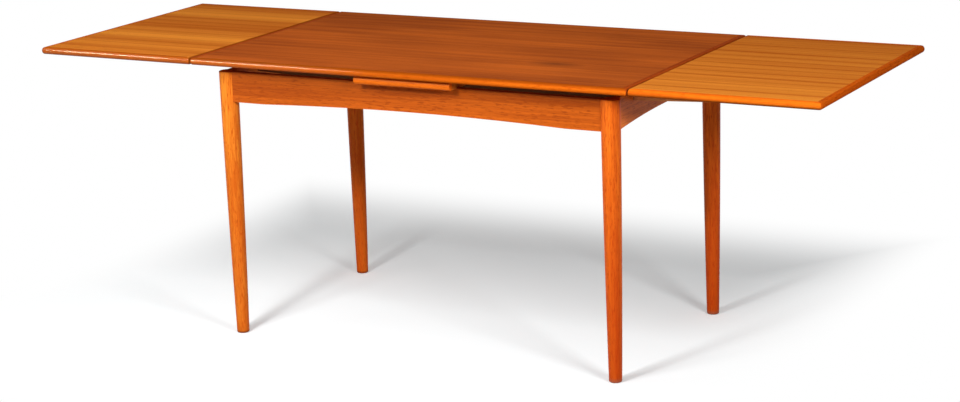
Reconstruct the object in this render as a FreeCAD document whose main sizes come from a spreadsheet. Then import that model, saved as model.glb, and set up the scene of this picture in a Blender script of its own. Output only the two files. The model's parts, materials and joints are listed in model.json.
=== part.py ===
"""Draw leaf table: a loose centre top on a fixed board, and a leaf on inclined runners at each end.

The table stands on the floor with its middle at the origin, its length along X and its front at -Y.
Both leaves are drawn out, level with the centre top.
"""
import FreeCAD, Part
import os
import Sketcher

document = FreeCAD.newDocument("DrawLeafTable")

# Sizes that can be set by themselves, in millimetres
SIZES = (
    ("table_height", 730, "floor to the upper face of the centre top"),
    ("table_width", 740, "front edge to back edge of the centre top and the leaves"),
    ("leaf_length", 468, "inner edge to outer edge of a leaf"),
    ("board_length", 266, "fixed centre board, along the table"),
    ("panel_thickness", 18, "centre top and leaves"),
    ("seam_gap", 2, "between the centre top and a leaf that is drawn out"),
    ("board_gap", 2, "between the fixed board and a leaf that is pushed in"),
    ("board_setback", 16, "edge of the fixed board from the long edge of the centre top"),
    ("board_headroom", 2, "fixed board over the thickness of a leaf"),
    ("leaf_rest_gap", 1, "under a leaf that is pushed in"),
    ("lipping_width", 14, "solid edge strips"),
    ("edge_rounding", 8.5, "rounded edges of the strips"),
    ("corner_rounding", 10, "corners of a top, seen from above"),
    ("pad_thickness", 2, "felt pads on the fixed board"),
    ("pad_diameter", 25, "felt pads on the fixed board"),
    ("peg_diameter", 20, "guide pegs of the centre top"),
    ("peg_seat", 10, "guide peg in the centre top"),
    ("peg_reach", 25, "guide peg under the fixed board"),
    ("peg_tip", 6, "tapered end of a guide peg"),
    ("peg_clearance", 0.3, "round a guide peg in the fixed board"),
    ("leg_inset_length", 71, "leg axis from the end of the centre top"),
    ("leg_inset_width", 67, "leg axis from the long edge of the centre top"),
    ("leg_top_diameter", 48, "turned leg at its top"),
    ("leg_middle_diameter", 42.6, "turned leg at half its height"),
    ("leg_foot_diameter", 32, "turned leg at the floor"),
    ("leg_top_rounding", 1.5, "upper edge of a leg"),
    ("leg_foot_rounding", 3, "lower edge of a leg"),
    ("apron_height", 77, "aprons, beside a leg"),
    ("long_arch_rise", 9.5, "arch in the lower edge of a long apron"),
    ("long_arch_start", 100, "level lower edge of a long apron beside a leg"),
    ("end_arch_rise", 13.4, "arch in the lower edge of an end apron"),
    ("end_arch_start", 10, "level lower edge of an end apron beside a leg"),
    ("apron_thickness", 20, "aprons"),
    ("apron_offset", 14, "leg axis to the outer face of an apron"),
    ("shoulder_offset", 12, "leg axis to the shoulder of an apron"),
    ("tenon_thickness", 9, "tenons of aprons and guide rail"),
    ("tenon_height", 44, "tenons of aprons and guide rail"),
    ("tenon_length", 10, "tenons of aprons and guide rail"),
    ("rail_thickness", 20, "guide rail"),
    ("rail_setback", 3, "lower edge of the guide rail above the arch of a long apron"),
    ("runner_width", 22, "runner, across the table"),
    ("runner_height", 40, "runner, upright"),
    ("runner_clearance", 0.3, "above and below a runner"),
    ("runner_side_clearance", 0.75, "beside a runner in its notch"),
    ("runner_pair_gap", 6, "between the runners of the two leaves"),
    ("runner_margin", 15, "between a runner and the corner block beside it"),
    ("runner_tail_reach", 30, "runner past the middle of the table"),
    ("runner_end_setback", 43, "outer end of a runner from the outer edge of its leaf"),
    ("end_play", 15, "leaf drawn past the seam before its stop pins meet the apron"),
    ("stop_diameter", 10, "stop pins"),
    ("stop_seat", 14, "stop pin in its runner"),
    ("stop_reach", 8, "stop pin beside its runner"),
    ("stop_rise", 13, "stop pin above the lower edge of its runner"),
    ("block_start", 30, "corner block from the inner corner of the aprons"),
    ("block_run", 75, "corner block along each apron, from the inner corner"),
    ("block_height", 40, "corner blocks"),
    ("block_seat", 10, "wood under a screw head in a corner block"),
    ("screw_diameter", 4, "screw shanks"),
    ("screw_head_diameter", 8, "screw heads"),
    ("screw_head_height", 2.5, "screw heads"),
    ("screw_bite", 12, "screw in the piece that it holds"),
    ("screw_grip", 16, "wood of a runner or the fixed board under a screw head"),
    ("hole_clearance", 0.1, "all round screws, stop pins and guide pegs in their holes"),
    ("head_clearance", 0.5, "all round a screw head"),
    ("overrun", 5, "cuts past the surface"),
)

# Shares of the sizes that these places follow
RUNNER_SCREW_SHARES = (0.2, 0.5, 0.8)
BOARD_SCREW_SHARE = 0.68
PEG_SHARE = 0.6
PAD_LENGTH_SHARE = 0.79
PAD_WIDTH_SHARE = 0.72

# Places worked out from the sizes
PLACES = (
    ("half_width", "sizes.table_width / 2"),
    ("half_board", "sizes.board_length / 2"),
    ("board_edge", "half_width - sizes.board_setback"),
    ("half_top", "half_board + sizes.board_gap + sizes.leaf_length"),
    ("leaf_inner", "half_top + sizes.seam_gap"),
    ("leaf_outer", "leaf_inner + sizes.leaf_length"),
    ("travel", "leaf_outer - half_top"),
    ("top_underside", "sizes.table_height - sizes.panel_thickness"),
    ("board_thickness", "sizes.panel_thickness + sizes.board_headroom"),
    ("board_top", "top_underside - sizes.pad_thickness"),
    ("apron_top", "board_top - board_thickness"),
    ("apron_bottom", "apron_top - sizes.apron_height"),
    ("apron_middle", "apron_top - sizes.apron_height / 2"),
    ("long_arch_pole", "apron_bottom + 2 * sizes.long_arch_rise"),
    ("end_arch_pole", "apron_bottom + 2 * sizes.end_arch_rise"),
    ("rail_bottom", "apron_bottom + sizes.long_arch_rise + sizes.rail_setback"),
    ("tenon_bottom", "apron_middle - sizes.tenon_height / 2"),
    ("tenon_top", "apron_middle + sizes.tenon_height / 2"),
    ("tenon_inset", "(sizes.apron_thickness - sizes.tenon_thickness) / 2"),
    ("leg_along", "half_top - sizes.leg_inset_length"),
    ("leg_across", "half_width - sizes.leg_inset_width"),
    ("long_inner", "leg_across + sizes.apron_offset - sizes.apron_thickness"),
    ("end_inner", "leg_along + sizes.apron_offset - sizes.apron_thickness"),
    ("long_shoulder", "leg_along - sizes.shoulder_offset"),
    ("end_shoulder", "leg_across - sizes.shoulder_offset"),
    ("long_arch_end", "long_shoulder - sizes.long_arch_start"),
    ("end_arch_end", "end_shoulder - sizes.end_arch_start"),
    ("leaf_drop", "board_thickness + sizes.pad_thickness - sizes.leaf_rest_gap"),
    ("incline", "leaf_drop / travel"),
    ("runner_datum", "apron_top - sizes.runner_clearance - incline * half_board"),
    ("runner_tail", "-sizes.runner_tail_reach"),
    ("runner_end", "leaf_outer - sizes.runner_end_setback"),
    ("runner_meet", "(top_underside - runner_datum) / incline"),
    ("tail_top", "runner_datum + incline * runner_tail"),
    ("tail_bottom", "tail_top - sizes.runner_height"),
    ("end_bottom", "runner_datum + incline * runner_end - sizes.runner_height"),
    ("runner_outer", "long_inner - sizes.block_run - sizes.runner_margin - sizes.runner_width / 2"),
    ("runner_inner", "runner_outer - sizes.runner_width - sizes.runner_pair_gap"),
    ("notch_half", "sizes.runner_width / 2 + sizes.runner_side_clearance"),
    ("notch_floor", "runner_datum + incline * end_inner - sizes.runner_height - sizes.runner_clearance"),
    ("rail_floor", "runner_datum - incline * sizes.rail_thickness / 2 - sizes.runner_height - sizes.runner_clearance"),
    ("stop_along", "end_inner - sizes.end_play - sizes.stop_diameter / 2"),
    ("stop_level", "runner_datum + incline * stop_along - sizes.runner_height + sizes.stop_rise"),
    ("block_screw", "(sizes.block_start + sizes.block_run) / 2"),
    ("pilot_diameter", "sizes.screw_diameter + 2 * sizes.hole_clearance"),
    ("head_hole_diameter", "sizes.screw_head_diameter + 2 * sizes.head_clearance"),
    ("pilot_depth", "sizes.screw_bite + sizes.hole_clearance"),
    ("runner_seat", "top_underside - sizes.screw_grip"),
    ("board_seat", "apron_top + sizes.screw_grip"),
    ("apron_line", "long_inner + sizes.apron_thickness / 2"),
    ("leg_belly", "sizes.leg_middle_diameter - (sizes.leg_top_diameter + sizes.leg_foot_diameter) / 4"),
    ("rounding_share", "1 - sqrt(2) / 2"),
)


def fill_sheet(name, rows):
    """Writes one sheet: a name, a value with that name as its alias, and what it is for."""
    sheet = document.addObject("Spreadsheet::Sheet", name)
    for number, row in enumerate(rows, 1):
        sheet.set(f"A{number}", row[0])
        sheet.set(f"B{number}", row[1])
        sheet.setAlias(f"B{number}", row[0])
        if len(row) > 2:
            sheet.set(f"C{number}", row[2])
    document.recompute()
    return sheet


sizes = fill_sheet("sizes", [(name, str(value), use) for name, value, use in SIZES])
places = fill_sheet("places", [(name, "=" + text) for name, text in PLACES])

# Nodes in the order in which they are made
nodes = []


def value_of(expression):
    """The present value of an expression in the two sheets."""
    return float(places.evalExpression(str(expression)))


def vector_of(point):
    """A point of a sketch at its present place."""
    return FreeCAD.Vector(value_of(point[0]), value_of(point[1]), 0)


def new_body(label, turn=0):
    """A body for one piece, turned about the upright through the middle of the table."""
    body = document.addObject("PartDesign::Body", label)
    body.Label = label
    body.Placement = FreeCAD.Placement(FreeCAD.Vector(), FreeCAD.Rotation(FreeCAD.Vector(0, 0, 1), turn))
    nodes.append(body)
    return body


def place(item, along="0", across="0", level="0"):
    """Ties the place of an object to the sheets."""
    for axis, expression in (("x", along), ("y", across), ("z", level)):
        item.setExpression(f"Placement.Base.{axis}", str(expression))


def new_sketch(body, name, role, lift="0"):
    """A sketch on one of the body's own planes, lifted off it along the plane's normal."""
    plane = [feature for feature in body.Origin.OriginFeatures if feature.Role == role][0]
    sketch = body.newObject("Sketcher::SketchObject", name)
    sketch.AttachmentSupport = [(plane, "")]
    sketch.MapMode = "FlatFace"
    sketch.setExpression("AttachmentOffset.Base.z", str(lift))
    return sketch


def hold_point(sketch, geometry, end, point):
    """Holds one end of a line or arc at its place from the sketch's origin."""
    for kind, expression in zip(("DistanceX", "DistanceY"), point):
        limit = Sketcher.Constraint(kind, -1, 1, geometry, end, value_of(expression))
        number = sketch.addConstraint(limit)
        sketch.setExpression(f"Constraints[{number}]", str(expression))


def add_outline(sketch, corners, centres=None, belly=None):
    """A closed outline, anticlockwise; an edge with a centre is an arc, and one with a belly swells towards it."""
    centres = centres or {}
    points = [vector_of(corner) for corner in corners]
    edges = []
    for number, start in enumerate(points):
        end = points[(number + 1) % len(points)]
        if number in centres:
            centre = vector_of(centres[number])
            circle = Part.Circle(centre, FreeCAD.Vector(0, 0, 1), start.distanceToPoint(centre))
            edge = Part.ArcOfCircle(circle, circle.parameter(start), circle.parameter(end))
        elif belly and number == belly[0]:
            edge = Part.BSplineCurve([start, vector_of(belly[1]), end], None, None, False, 2, None, False)
        else:
            edge = Part.LineSegment(start, end)
        edges.append(sketch.addGeometry(edge, False))
    for number, edge in enumerate(edges):
        following = edges[(number + 1) % len(edges)]
        sketch.addConstraint(Sketcher.Constraint("Coincident", edge, 2, following, 1))
        hold_point(sketch, edge, 1, corners[number])
    if belly:
        first_pole = len(sketch.Geometry)
        sketch.exposeInternalGeometry(edges[belly[0]])
        hold_point(sketch, first_pole + 1, 3, belly[1])
    return edges


def rectangle(left, low, right, high):
    """The corners of an upright rectangle."""
    return ((left, low), (right, low), (right, high), (left, high))


def add_circle(sketch, centre, diameter):
    """A circle at a held centre."""
    round_edge = Part.Circle(vector_of(centre), FreeCAD.Vector(0, 0, 1), value_of(diameter) / 2)
    number = sketch.addGeometry(round_edge, False)
    hold_point(sketch, number, 3, centre)
    limit = sketch.addConstraint(Sketcher.Constraint("Diameter", number, value_of(diameter)))
    sketch.setExpression(f"Constraints[{limit}]", str(diameter))


def pad(body, name, sketch, length):
    """Raises a sketch along its normal."""
    feature = body.newObject("PartDesign::Pad", name)
    feature.Profile = sketch
    feature.setExpression("Length", str(length))
    document.recompute()
    return feature


def pocket(body, name, sketch, depth, along_normal):
    """Cuts a sketch into the body and makes sure that something was cut."""
    before = body.Shape.Volume
    feature = body.newObject("PartDesign::Pocket", name)
    feature.Profile = sketch
    feature.Reversed = along_normal
    feature.setExpression("Length", str(depth))
    document.recompute()
    if body.Shape.Volume >= before:
        raise RuntimeError(f"{body.Label}: {name} cuts nothing")
    return feature


def block_of(body, name, role, lift, corners, length, belly=None):
    """A sketch and the pad on it."""
    sketch = new_sketch(body, name + "_outline", role, lift)
    add_outline(sketch, corners, belly=belly)
    return pad(body, name, sketch, length)


def drill(body, name, role, lift, centres, diameter, depth, along_normal):
    """Round holes of one diameter and depth, from one plane."""
    sketch = new_sketch(body, name + "_centres", role, lift)
    for centre in centres:
        add_circle(sketch, centre, diameter)
    return pocket(body, name, sketch, depth, along_normal)


def slots(body, name, role, lift, outlines, depth, along_normal):
    """Straight sided cuts of one depth, from one plane."""
    sketch = new_sketch(body, name + "_outlines", role, lift)
    for corners in outlines:
        add_outline(sketch, corners)
    return pocket(body, name, sketch, depth, along_normal)


def round_edges(body, name, base, wanted, radius):
    """Rounds those edges of a feature that the test wants."""
    numbers = [f"Edge{number}" for number, edge in enumerate(base.Shape.Edges, 1) if wanted(edge)]
    before = body.Shape.Volume
    feature = body.newObject("PartDesign::Fillet", name)
    feature.Base = (base, numbers)
    feature.setExpression("Radius", str(radius))
    document.recompute()
    if body.Shape.Volume >= before:
        raise RuntimeError(f"{body.Label}: {name} rounds nothing")
    return feature


def outer_edge(edge):
    """True for the straight edges along the outer side of a strip, which lies on the X axis."""
    ends = [vertex.Point for vertex in edge.Vertexes]
    if len(ends) < 2:
        return False
    on_side = all(abs(point.y) < 1e-6 for point in ends)
    level = abs(ends[0].z - ends[1].z) < 1e-6
    return on_side and level


def mitred_strip(label, length, turn, along, across):
    """An edge strip with mitred ends, half of each rounded corner and a rounded outer side."""
    body = new_body(label, turn)
    place(body, along, across, "places.top_underside")
    half = f"({length}) / 2"
    start = f"({half} - sizes.corner_rounding)"
    tip = f"({half} - places.rounding_share * sizes.corner_rounding)"
    tip_depth = "places.rounding_share * sizes.corner_rounding"
    inner = f"({half} - sizes.lipping_width)"
    corners = (
        (f"-{start}", "0"),
        (start, "0"),
        (tip, tip_depth),
        (inner, "sizes.lipping_width"),
        (f"-{inner}", "sizes.lipping_width"),
        (f"-{tip}", tip_depth),
    )
    centres = {1: (start, "sizes.corner_rounding"), 5: (f"-{start}", "sizes.corner_rounding")}
    sketch = new_sketch(body, label + "_outline", "XY_Plane")
    edges = add_outline(sketch, corners, centres)
    for number in centres:
        radius = Sketcher.Constraint("Radius", edges[number], value_of("sizes.corner_rounding"))
        limit = sketch.addConstraint(radius)
        sketch.setExpression(f"Constraints[{limit}]", "sizes.corner_rounding")
    strip = pad(body, label + "_strip", sketch, "sizes.panel_thickness")
    round_edges(body, label + "_rounding", strip, outer_edge, "sizes.edge_rounding")
    return body


def edge_strips(prefix, low, high, side, end_names):
    """The four strips round a top that runs from low to high along the table, before it is turned."""
    turn = 0 if side > 0 else 180
    near_name, far_name = ("front", "back")[::side]
    high_name, low_name = end_names
    length = f"({high} - {low})"
    middle = f"{side} * ({high} + {low}) / 2"
    mitred_strip(f"{prefix}_{near_name}_lipping", length, turn, middle, f"-{side} * places.half_width")
    mitred_strip(f"{prefix}_{far_name}_lipping", length, turn + 180, middle, f"{side} * places.half_width")
    mitred_strip(f"{prefix}_{high_name}_lipping", "sizes.table_width", turn + 90, f"{side} * ({high})", "0")
    mitred_strip(f"{prefix}_{low_name}_lipping", "sizes.table_width", turn + 270, f"{side} * ({low})", "0")


def add_leg(label, turn, along, across):
    """A turned leg, housed and mortised for an apron towards -X and one towards +Y before it is turned."""
    body = new_body(label, turn)
    place(body, along, across)
    sketch = new_sketch(body, label + "_profile", "XZ_Plane")
    corners = (
        ("0", "0"),
        ("sizes.leg_foot_diameter / 2", "0"),
        ("sizes.leg_top_diameter / 2", "places.apron_top"),
        ("0", "places.apron_top"),
    )
    add_outline(sketch, corners, belly=(1, ("places.leg_belly", "places.apron_top / 2")))
    turning = body.newObject("PartDesign::Revolution", label + "_turning")
    turning.Profile = sketch
    turning.ReferenceAxis = (sketch, ["V_Axis"])
    turning.Angle = 360
    document.recompute()
    top = value_of("places.apron_top")

    def ring_at(level):
        return lambda edge: abs(edge.BoundBox.ZMin - level) < 1e-6 and abs(edge.BoundBox.ZMax - level) < 1e-6

    foot = round_edges(body, label + "_foot", turning, ring_at(0), "sizes.leg_foot_rounding")
    round_edges(body, label + "_top", foot, ring_at(top), "sizes.leg_top_rounding")
    reach = "(sizes.leg_top_diameter / 2 + sizes.overrun)"
    far_side = "(sizes.apron_thickness - sizes.apron_offset)"
    housings = (
        rectangle(f"-{reach}", "-sizes.apron_offset", "-sizes.shoulder_offset", far_side),
        rectangle(f"-{far_side}", "sizes.shoulder_offset", "sizes.apron_offset", reach),
    )
    housing_height = "sizes.apron_height + sizes.overrun"
    slots(body, label + "_housings", "XY_Plane", "places.apron_bottom", housings, housing_height, True)
    near_cheek = "(sizes.apron_offset - places.tenon_inset)"
    far_cheek = "(sizes.tenon_thickness - sizes.apron_offset + places.tenon_inset)"
    tip = "(sizes.shoulder_offset - sizes.tenon_length)"
    mortises = (
        rectangle(f"-{reach}", f"-{near_cheek}", f"-{tip}", far_cheek),
        rectangle(f"-{far_cheek}", tip, near_cheek, reach),
    )
    slots(body, label + "_mortises", "XY_Plane", "places.tenon_bottom", mortises, "sizes.tenon_height", True)


def apron_face(shoulder, arch):
    """The corners of an apron's face; its second edge, between the level edges beside the legs, takes the arch."""
    low = "places.apron_bottom"
    high = "places.apron_top"
    return (
        (f"-{shoulder}", low),
        (f"-{arch}", low),
        (arch, low),
        (shoulder, low),
        (shoulder, high),
        (f"-{shoulder}", high),
    )


def add_long_apron(label, turn):
    """A long apron with an arched lower edge, made at the front."""
    body = new_body(label, turn)
    face = apron_face("places.long_shoulder", "places.long_arch_end")
    arch = (1, ("0", "places.long_arch_pole"))
    block_of(body, label + "_rail", "XZ_Plane", "places.long_inner", face, "sizes.apron_thickness", arch)
    tip = "(places.long_shoulder + sizes.tenon_length)"
    tenon = rectangle(f"-{tip}", "places.tenon_bottom", tip, "places.tenon_top")
    cheek = "places.long_inner + places.tenon_inset"
    block_of(body, label + "_tenons", "XZ_Plane", cheek, tenon, "sizes.tenon_thickness")
    half_tenon = "sizes.tenon_thickness / 2"
    mortise = rectangle(f"-{half_tenon}", "places.tenon_bottom", half_tenon, "places.tenon_top")
    slots(body, label + "_mortise", "XZ_Plane", "places.long_inner", (mortise,), "sizes.tenon_length", True)
    block_screw = "(places.end_inner - places.block_screw)"
    screws = ((f"-{block_screw}", "places.apron_middle"), (block_screw, "places.apron_middle"))
    drill(body, label + "_block_pilots", "XZ_Plane", "places.long_inner", screws, "places.pilot_diameter",
          "places.pilot_depth", True)
    board_screw = f"{BOARD_SCREW_SHARE} * places.half_board"
    pilots = ((f"-{board_screw}", "-places.apron_line"), (board_screw, "-places.apron_line"))
    drill(body, label + "_board_pilots", "XY_Plane", "places.apron_top", pilots, "places.pilot_diameter",
          "places.pilot_depth", False)


def add_end_apron(label, turn):
    """An arched end apron with two notches for the runners of its leaf, made at the right end."""
    body = new_body(label, turn)
    face = apron_face("places.end_shoulder", "places.end_arch_end")
    arch = (1, ("0", "places.end_arch_pole"))
    block_of(body, label + "_rail", "YZ_Plane", "places.end_inner", face, "sizes.apron_thickness", arch)
    tip = "(places.end_shoulder + sizes.tenon_length)"
    tenon = rectangle(f"-{tip}", "places.tenon_bottom", tip, "places.tenon_top")
    cheek = "places.end_inner + places.tenon_inset"
    block_of(body, label + "_tenons", "YZ_Plane", cheek, tenon, "sizes.tenon_thickness")
    notches = []
    for middle in ("-places.runner_outer", "places.runner_inner"):
        low = f"{middle} - places.notch_half"
        high = f"{middle} + places.notch_half"
        notches.append(rectangle(low, "places.notch_floor", high, "places.apron_top + sizes.overrun"))
    slots(body, label + "_notches", "YZ_Plane", "places.end_inner", notches, "sizes.apron_thickness", True)
    block_screw = "(places.long_inner - places.block_screw)"
    screws = ((f"-{block_screw}", "places.apron_middle"), (block_screw, "places.apron_middle"))
    drill(body, label + "_block_pilots", "YZ_Plane", "places.end_inner", screws, "places.pilot_diameter",
          "places.pilot_depth", True)


def add_corner_block(label, turn, along, across):
    """A block across the inner corner of two aprons, drilled for a screw into each."""
    body = new_body(label, turn)
    place(body, along, across, "places.apron_middle - sizes.block_height / 2")
    corners = (
        ("-sizes.block_run", "0"),
        ("-sizes.block_start", "0"),
        ("0", "sizes.block_start"),
        ("0", "sizes.block_run"),
    )
    block_of(body, label + "_block", "XY_Plane", "0", corners, "sizes.block_height")
    for role, centre in (("XZ_Plane", "-places.block_screw"), ("YZ_Plane", "places.block_screw")):
        middle = ((centre, "sizes.block_height / 2"),)
        drill(body, f"{label}_{role}_hole", role, "0", middle, "places.pilot_diameter", "sizes.block_run", False)
        drill(body, f"{label}_{role}_head", role, "-sizes.block_seat", middle, "places.head_hole_diameter",
              "sizes.block_run", False)


def cylinder(name, diameter, height):
    """A round bar on its own Z axis."""
    bar = document.addObject("Part::Cylinder", name)
    bar.setExpression("Radius", f"({diameter}) / 2")
    bar.setExpression("Height", str(height))
    return bar


def add_screw(name, length, axis, turn, seat):
    """A screw whose head bears on its seat and whose shank points along the turned Z axis."""
    shank = cylinder(name + "_shank", "sizes.screw_diameter", length)
    head = cylinder(name + "_head", "sizes.screw_head_diameter", "sizes.screw_head_height")
    place(head, level="-sizes.screw_head_height")
    screw = document.addObject("Part::Fuse", name)
    screw.Base = shank
    screw.Tool = head
    screw.Placement = FreeCAD.Placement(FreeCAD.Vector(), FreeCAD.Rotation(FreeCAD.Vector(*axis), turn))
    place(screw, *seat)
    return screw


def gather(label, pieces):
    """One node of several like pieces."""
    node = document.addObject("Part::Compound", label)
    node.Label = label
    node.Links = pieces
    nodes.append(node)
    return node


def add_runner(label, turn, middle):
    """A runner of one leaf, made at the right end, with its top cut level under the leaf."""
    body = new_body(label, turn)
    corners = (
        ("places.runner_tail", "places.tail_bottom"),
        ("places.runner_end", "places.end_bottom"),
        ("places.runner_end", "places.top_underside"),
        ("places.runner_meet", "places.top_underside"),
        ("places.runner_tail", "places.tail_top"),
    )
    near = f"-({middle} + sizes.runner_width / 2)"
    far = f"-({middle} - sizes.runner_width / 2)"
    block_of(body, label + "_bar", "XZ_Plane", near, corners, "sizes.runner_width")
    centres = [(screw_place(share), middle) for share in RUNNER_SCREW_SHARES]
    drill(body, label + "_holes", "XY_Plane", "places.top_underside", centres, "places.pilot_diameter",
          "sizes.screw_grip + sizes.overrun", False)
    drill(body, label + "_heads", "XY_Plane", "places.runner_seat", centres, "places.head_hole_diameter",
          "sizes.runner_height", False)
    stop = (("places.stop_along", "places.stop_level"),)
    stop_hole = "sizes.stop_diameter + 2 * sizes.hole_clearance"
    drill(body, label + "_stop_hole", "XZ_Plane", far, stop, stop_hole, "sizes.stop_seat", False)


def screw_place(share):
    """How far along the table a screw at this share of the leaf's length lies."""
    return f"(places.leaf_inner + {share} * sizes.leaf_length)"


def add_leaf(prefix, side):
    """One leaf: its panel, four strips, two runners, screws and stop pins."""
    turn = 0 if side > 0 else 180
    runner_lines = ("-places.runner_outer", "places.runner_inner")
    panel = new_body(f"{prefix}_panel", turn)
    core = rectangle("places.leaf_inner + sizes.lipping_width", "-places.half_width + sizes.lipping_width",
                     "places.leaf_outer - sizes.lipping_width", "places.half_width - sizes.lipping_width")
    block_of(panel, f"{prefix}_core", "XY_Plane", "places.top_underside", core, "sizes.panel_thickness")
    pilots = []
    for line in runner_lines:
        for share in RUNNER_SCREW_SHARES:
            pilots.append((screw_place(share), line))
    drill(panel, f"{prefix}_pilots", "XY_Plane", "places.top_underside", pilots, "places.pilot_diameter",
          "places.pilot_depth", True)
    edge_strips(prefix, "places.leaf_inner", "places.leaf_outer", side, ("outer", "inner"))
    screws = []
    stops = []
    for name, line in zip(("front", "back")[::side], runner_lines):
        add_runner(f"{prefix}_{name}_runner", turn, line)
        for number, share in enumerate(RUNNER_SCREW_SHARES, 1):
            seat = (f"{side} * {screw_place(share)}", f"{side} * {line}", "places.runner_seat")
            length = "sizes.screw_grip + sizes.screw_bite"
            screws.append(add_screw(f"{prefix}_{name}_screw_{number}", length, (0, 0, 1), 0, seat))
        pin = cylinder(f"{prefix}_{name}_stop", "sizes.stop_diameter", "sizes.stop_seat + sizes.stop_reach")
        pin.Placement = FreeCAD.Placement(FreeCAD.Vector(), FreeCAD.Rotation(FreeCAD.Vector(1, 0, 0), side * 90))
        seat = f"{side} * ({line} - sizes.runner_width / 2 + sizes.stop_seat)"
        place(pin, f"{side} * places.stop_along", seat, "places.stop_level")
        stops.append(pin)
    gather(f"{prefix}_runner_screws", screws)
    gather(f"{prefix}_stop_pins", stops)


def add_centre_board():
    """The fixed board across the aprons, with its two edge strips, screws and felt pads."""
    board = new_body("centre_board")
    edge = "(places.board_edge - sizes.lipping_width)"
    core = rectangle("-places.half_board", f"-{edge}", "places.half_board", edge)
    block_of(board, "board_core", "XY_Plane", "places.apron_top", core, "places.board_thickness")
    peg = f"{PEG_SHARE} * places.half_board"
    peg_hole = "sizes.peg_diameter + 2 * sizes.peg_clearance"
    drill(board, "board_peg_holes", "XY_Plane", "places.apron_top", ((f"-{peg}", "0"), (peg, "0")), peg_hole,
          "places.board_thickness", True)
    screw = f"{BOARD_SCREW_SHARE} * places.half_board"
    centres = []
    for along in (f"-{screw}", screw):
        for across in ("-places.apron_line", "places.apron_line"):
            centres.append((along, across))
    drill(board, "board_screw_holes", "XY_Plane", "places.apron_top", centres, "places.pilot_diameter",
          "places.board_thickness", True)
    drill(board, "board_screw_heads", "XY_Plane", "places.board_seat", centres, "places.head_hole_diameter",
          "places.board_thickness", True)
    for label, turn, across in (("front", 0, "-places.board_edge"), ("back", 180, "places.board_edge")):
        name = f"centre_board_{label}_lipping"
        body = new_body(name, turn)
        place(body, "0", across, "places.apron_top")
        outline = rectangle("-places.half_board", "0", "places.half_board", "sizes.lipping_width")
        strip = block_of(body, name + "_strip", "XY_Plane", "0", outline, "places.board_thickness")
        round_edges(body, name + "_rounding", strip, outer_edge, "sizes.edge_rounding")
    screws = []
    for number, (along, across) in enumerate(centres, 1):
        length = "sizes.screw_grip + sizes.screw_bite"
        screws.append(add_screw(f"board_screw_{number}", length, (1, 0, 0), 180, (along, across, "places.board_seat")))
    gather("centre_board_screws", screws)
    pads = []
    for along in (-1, 1):
        for across in (-1, 1):
            disc = cylinder(f"pad_{len(pads) + 1}", "sizes.pad_diameter", "sizes.pad_thickness")
            place(disc, f"{along * PAD_LENGTH_SHARE} * places.half_board",
                  f"{across * PAD_WIDTH_SHARE} * places.board_edge", "places.board_top")
            pads.append(disc)
    gather("felt_pads", pads)


def add_guide_rail():
    """The rail under the fixed board, notched for the runners of both leaves."""
    body = new_body("guide_rail")
    half = "sizes.rail_thickness / 2"
    face = rectangle("-places.long_inner", "places.rail_bottom", "places.long_inner", "places.apron_top")
    block_of(body, "guide_rail_bar", "YZ_Plane", f"-{half}", face, "sizes.rail_thickness")
    tip = "(places.long_inner + sizes.tenon_length)"
    tenon = rectangle(f"-{tip}", "places.tenon_bottom", tip, "places.tenon_top")
    block_of(body, "guide_rail_tenons", "YZ_Plane", "-sizes.tenon_thickness / 2", tenon, "sizes.tenon_thickness")
    low = "(places.runner_inner - places.notch_half)"
    high = "(places.runner_outer + places.notch_half)"
    above = "places.apron_top + sizes.overrun"
    notches = (
        rectangle(f"-{high}", "places.rail_floor", f"-{low}", above),
        rectangle(low, "places.rail_floor", high, above),
    )
    slots(body, "guide_rail_notches", "YZ_Plane", f"-{half}", notches, "sizes.rail_thickness", True)


def add_centre_top():
    """The loose centre top: panel, four strips and two guide pegs."""
    panel = new_body("top_panel")
    end = "(places.half_top - sizes.lipping_width)"
    edge = "(places.half_width - sizes.lipping_width)"
    core = rectangle(f"-{end}", f"-{edge}", end, edge)
    block_of(panel, "top_core", "XY_Plane", "places.top_underside", core, "sizes.panel_thickness")
    peg = f"{PEG_SHARE} * places.half_board"
    seat_hole = "sizes.peg_diameter + 2 * sizes.hole_clearance"
    drill(panel, "top_peg_seats", "XY_Plane", "places.top_underside", ((f"-{peg}", "0"), (peg, "0")), seat_hole,
          "sizes.peg_seat", True)
    edge_strips("top", "-places.half_top", "places.half_top", 1, ("right", "left"))
    pegs = []
    for side in (-1, 1):
        foot = "places.apron_top - sizes.peg_reach"
        bar = cylinder(f"peg_bar_{len(pegs) + 1}", "sizes.peg_diameter",
                       f"places.top_underside + sizes.peg_seat - ({foot}) - sizes.peg_tip")
        place(bar, level="sizes.peg_tip")
        taper = document.addObject("Part::Cone", f"peg_taper_{len(pegs) + 1}")
        taper.setExpression("Radius1", "sizes.peg_diameter / 2 - sizes.peg_tip / 2")
        taper.setExpression("Radius2", "sizes.peg_diameter / 2")
        taper.setExpression("Height", "sizes.peg_tip")
        whole = document.addObject("Part::Fuse", f"peg_{len(pegs) + 1}")
        whole.Base = bar
        whole.Tool = taper
        place(whole, f"{side} * ({peg})", "0", foot)
        pegs.append(whole)
    gather("guide_pegs", pegs)


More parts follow.
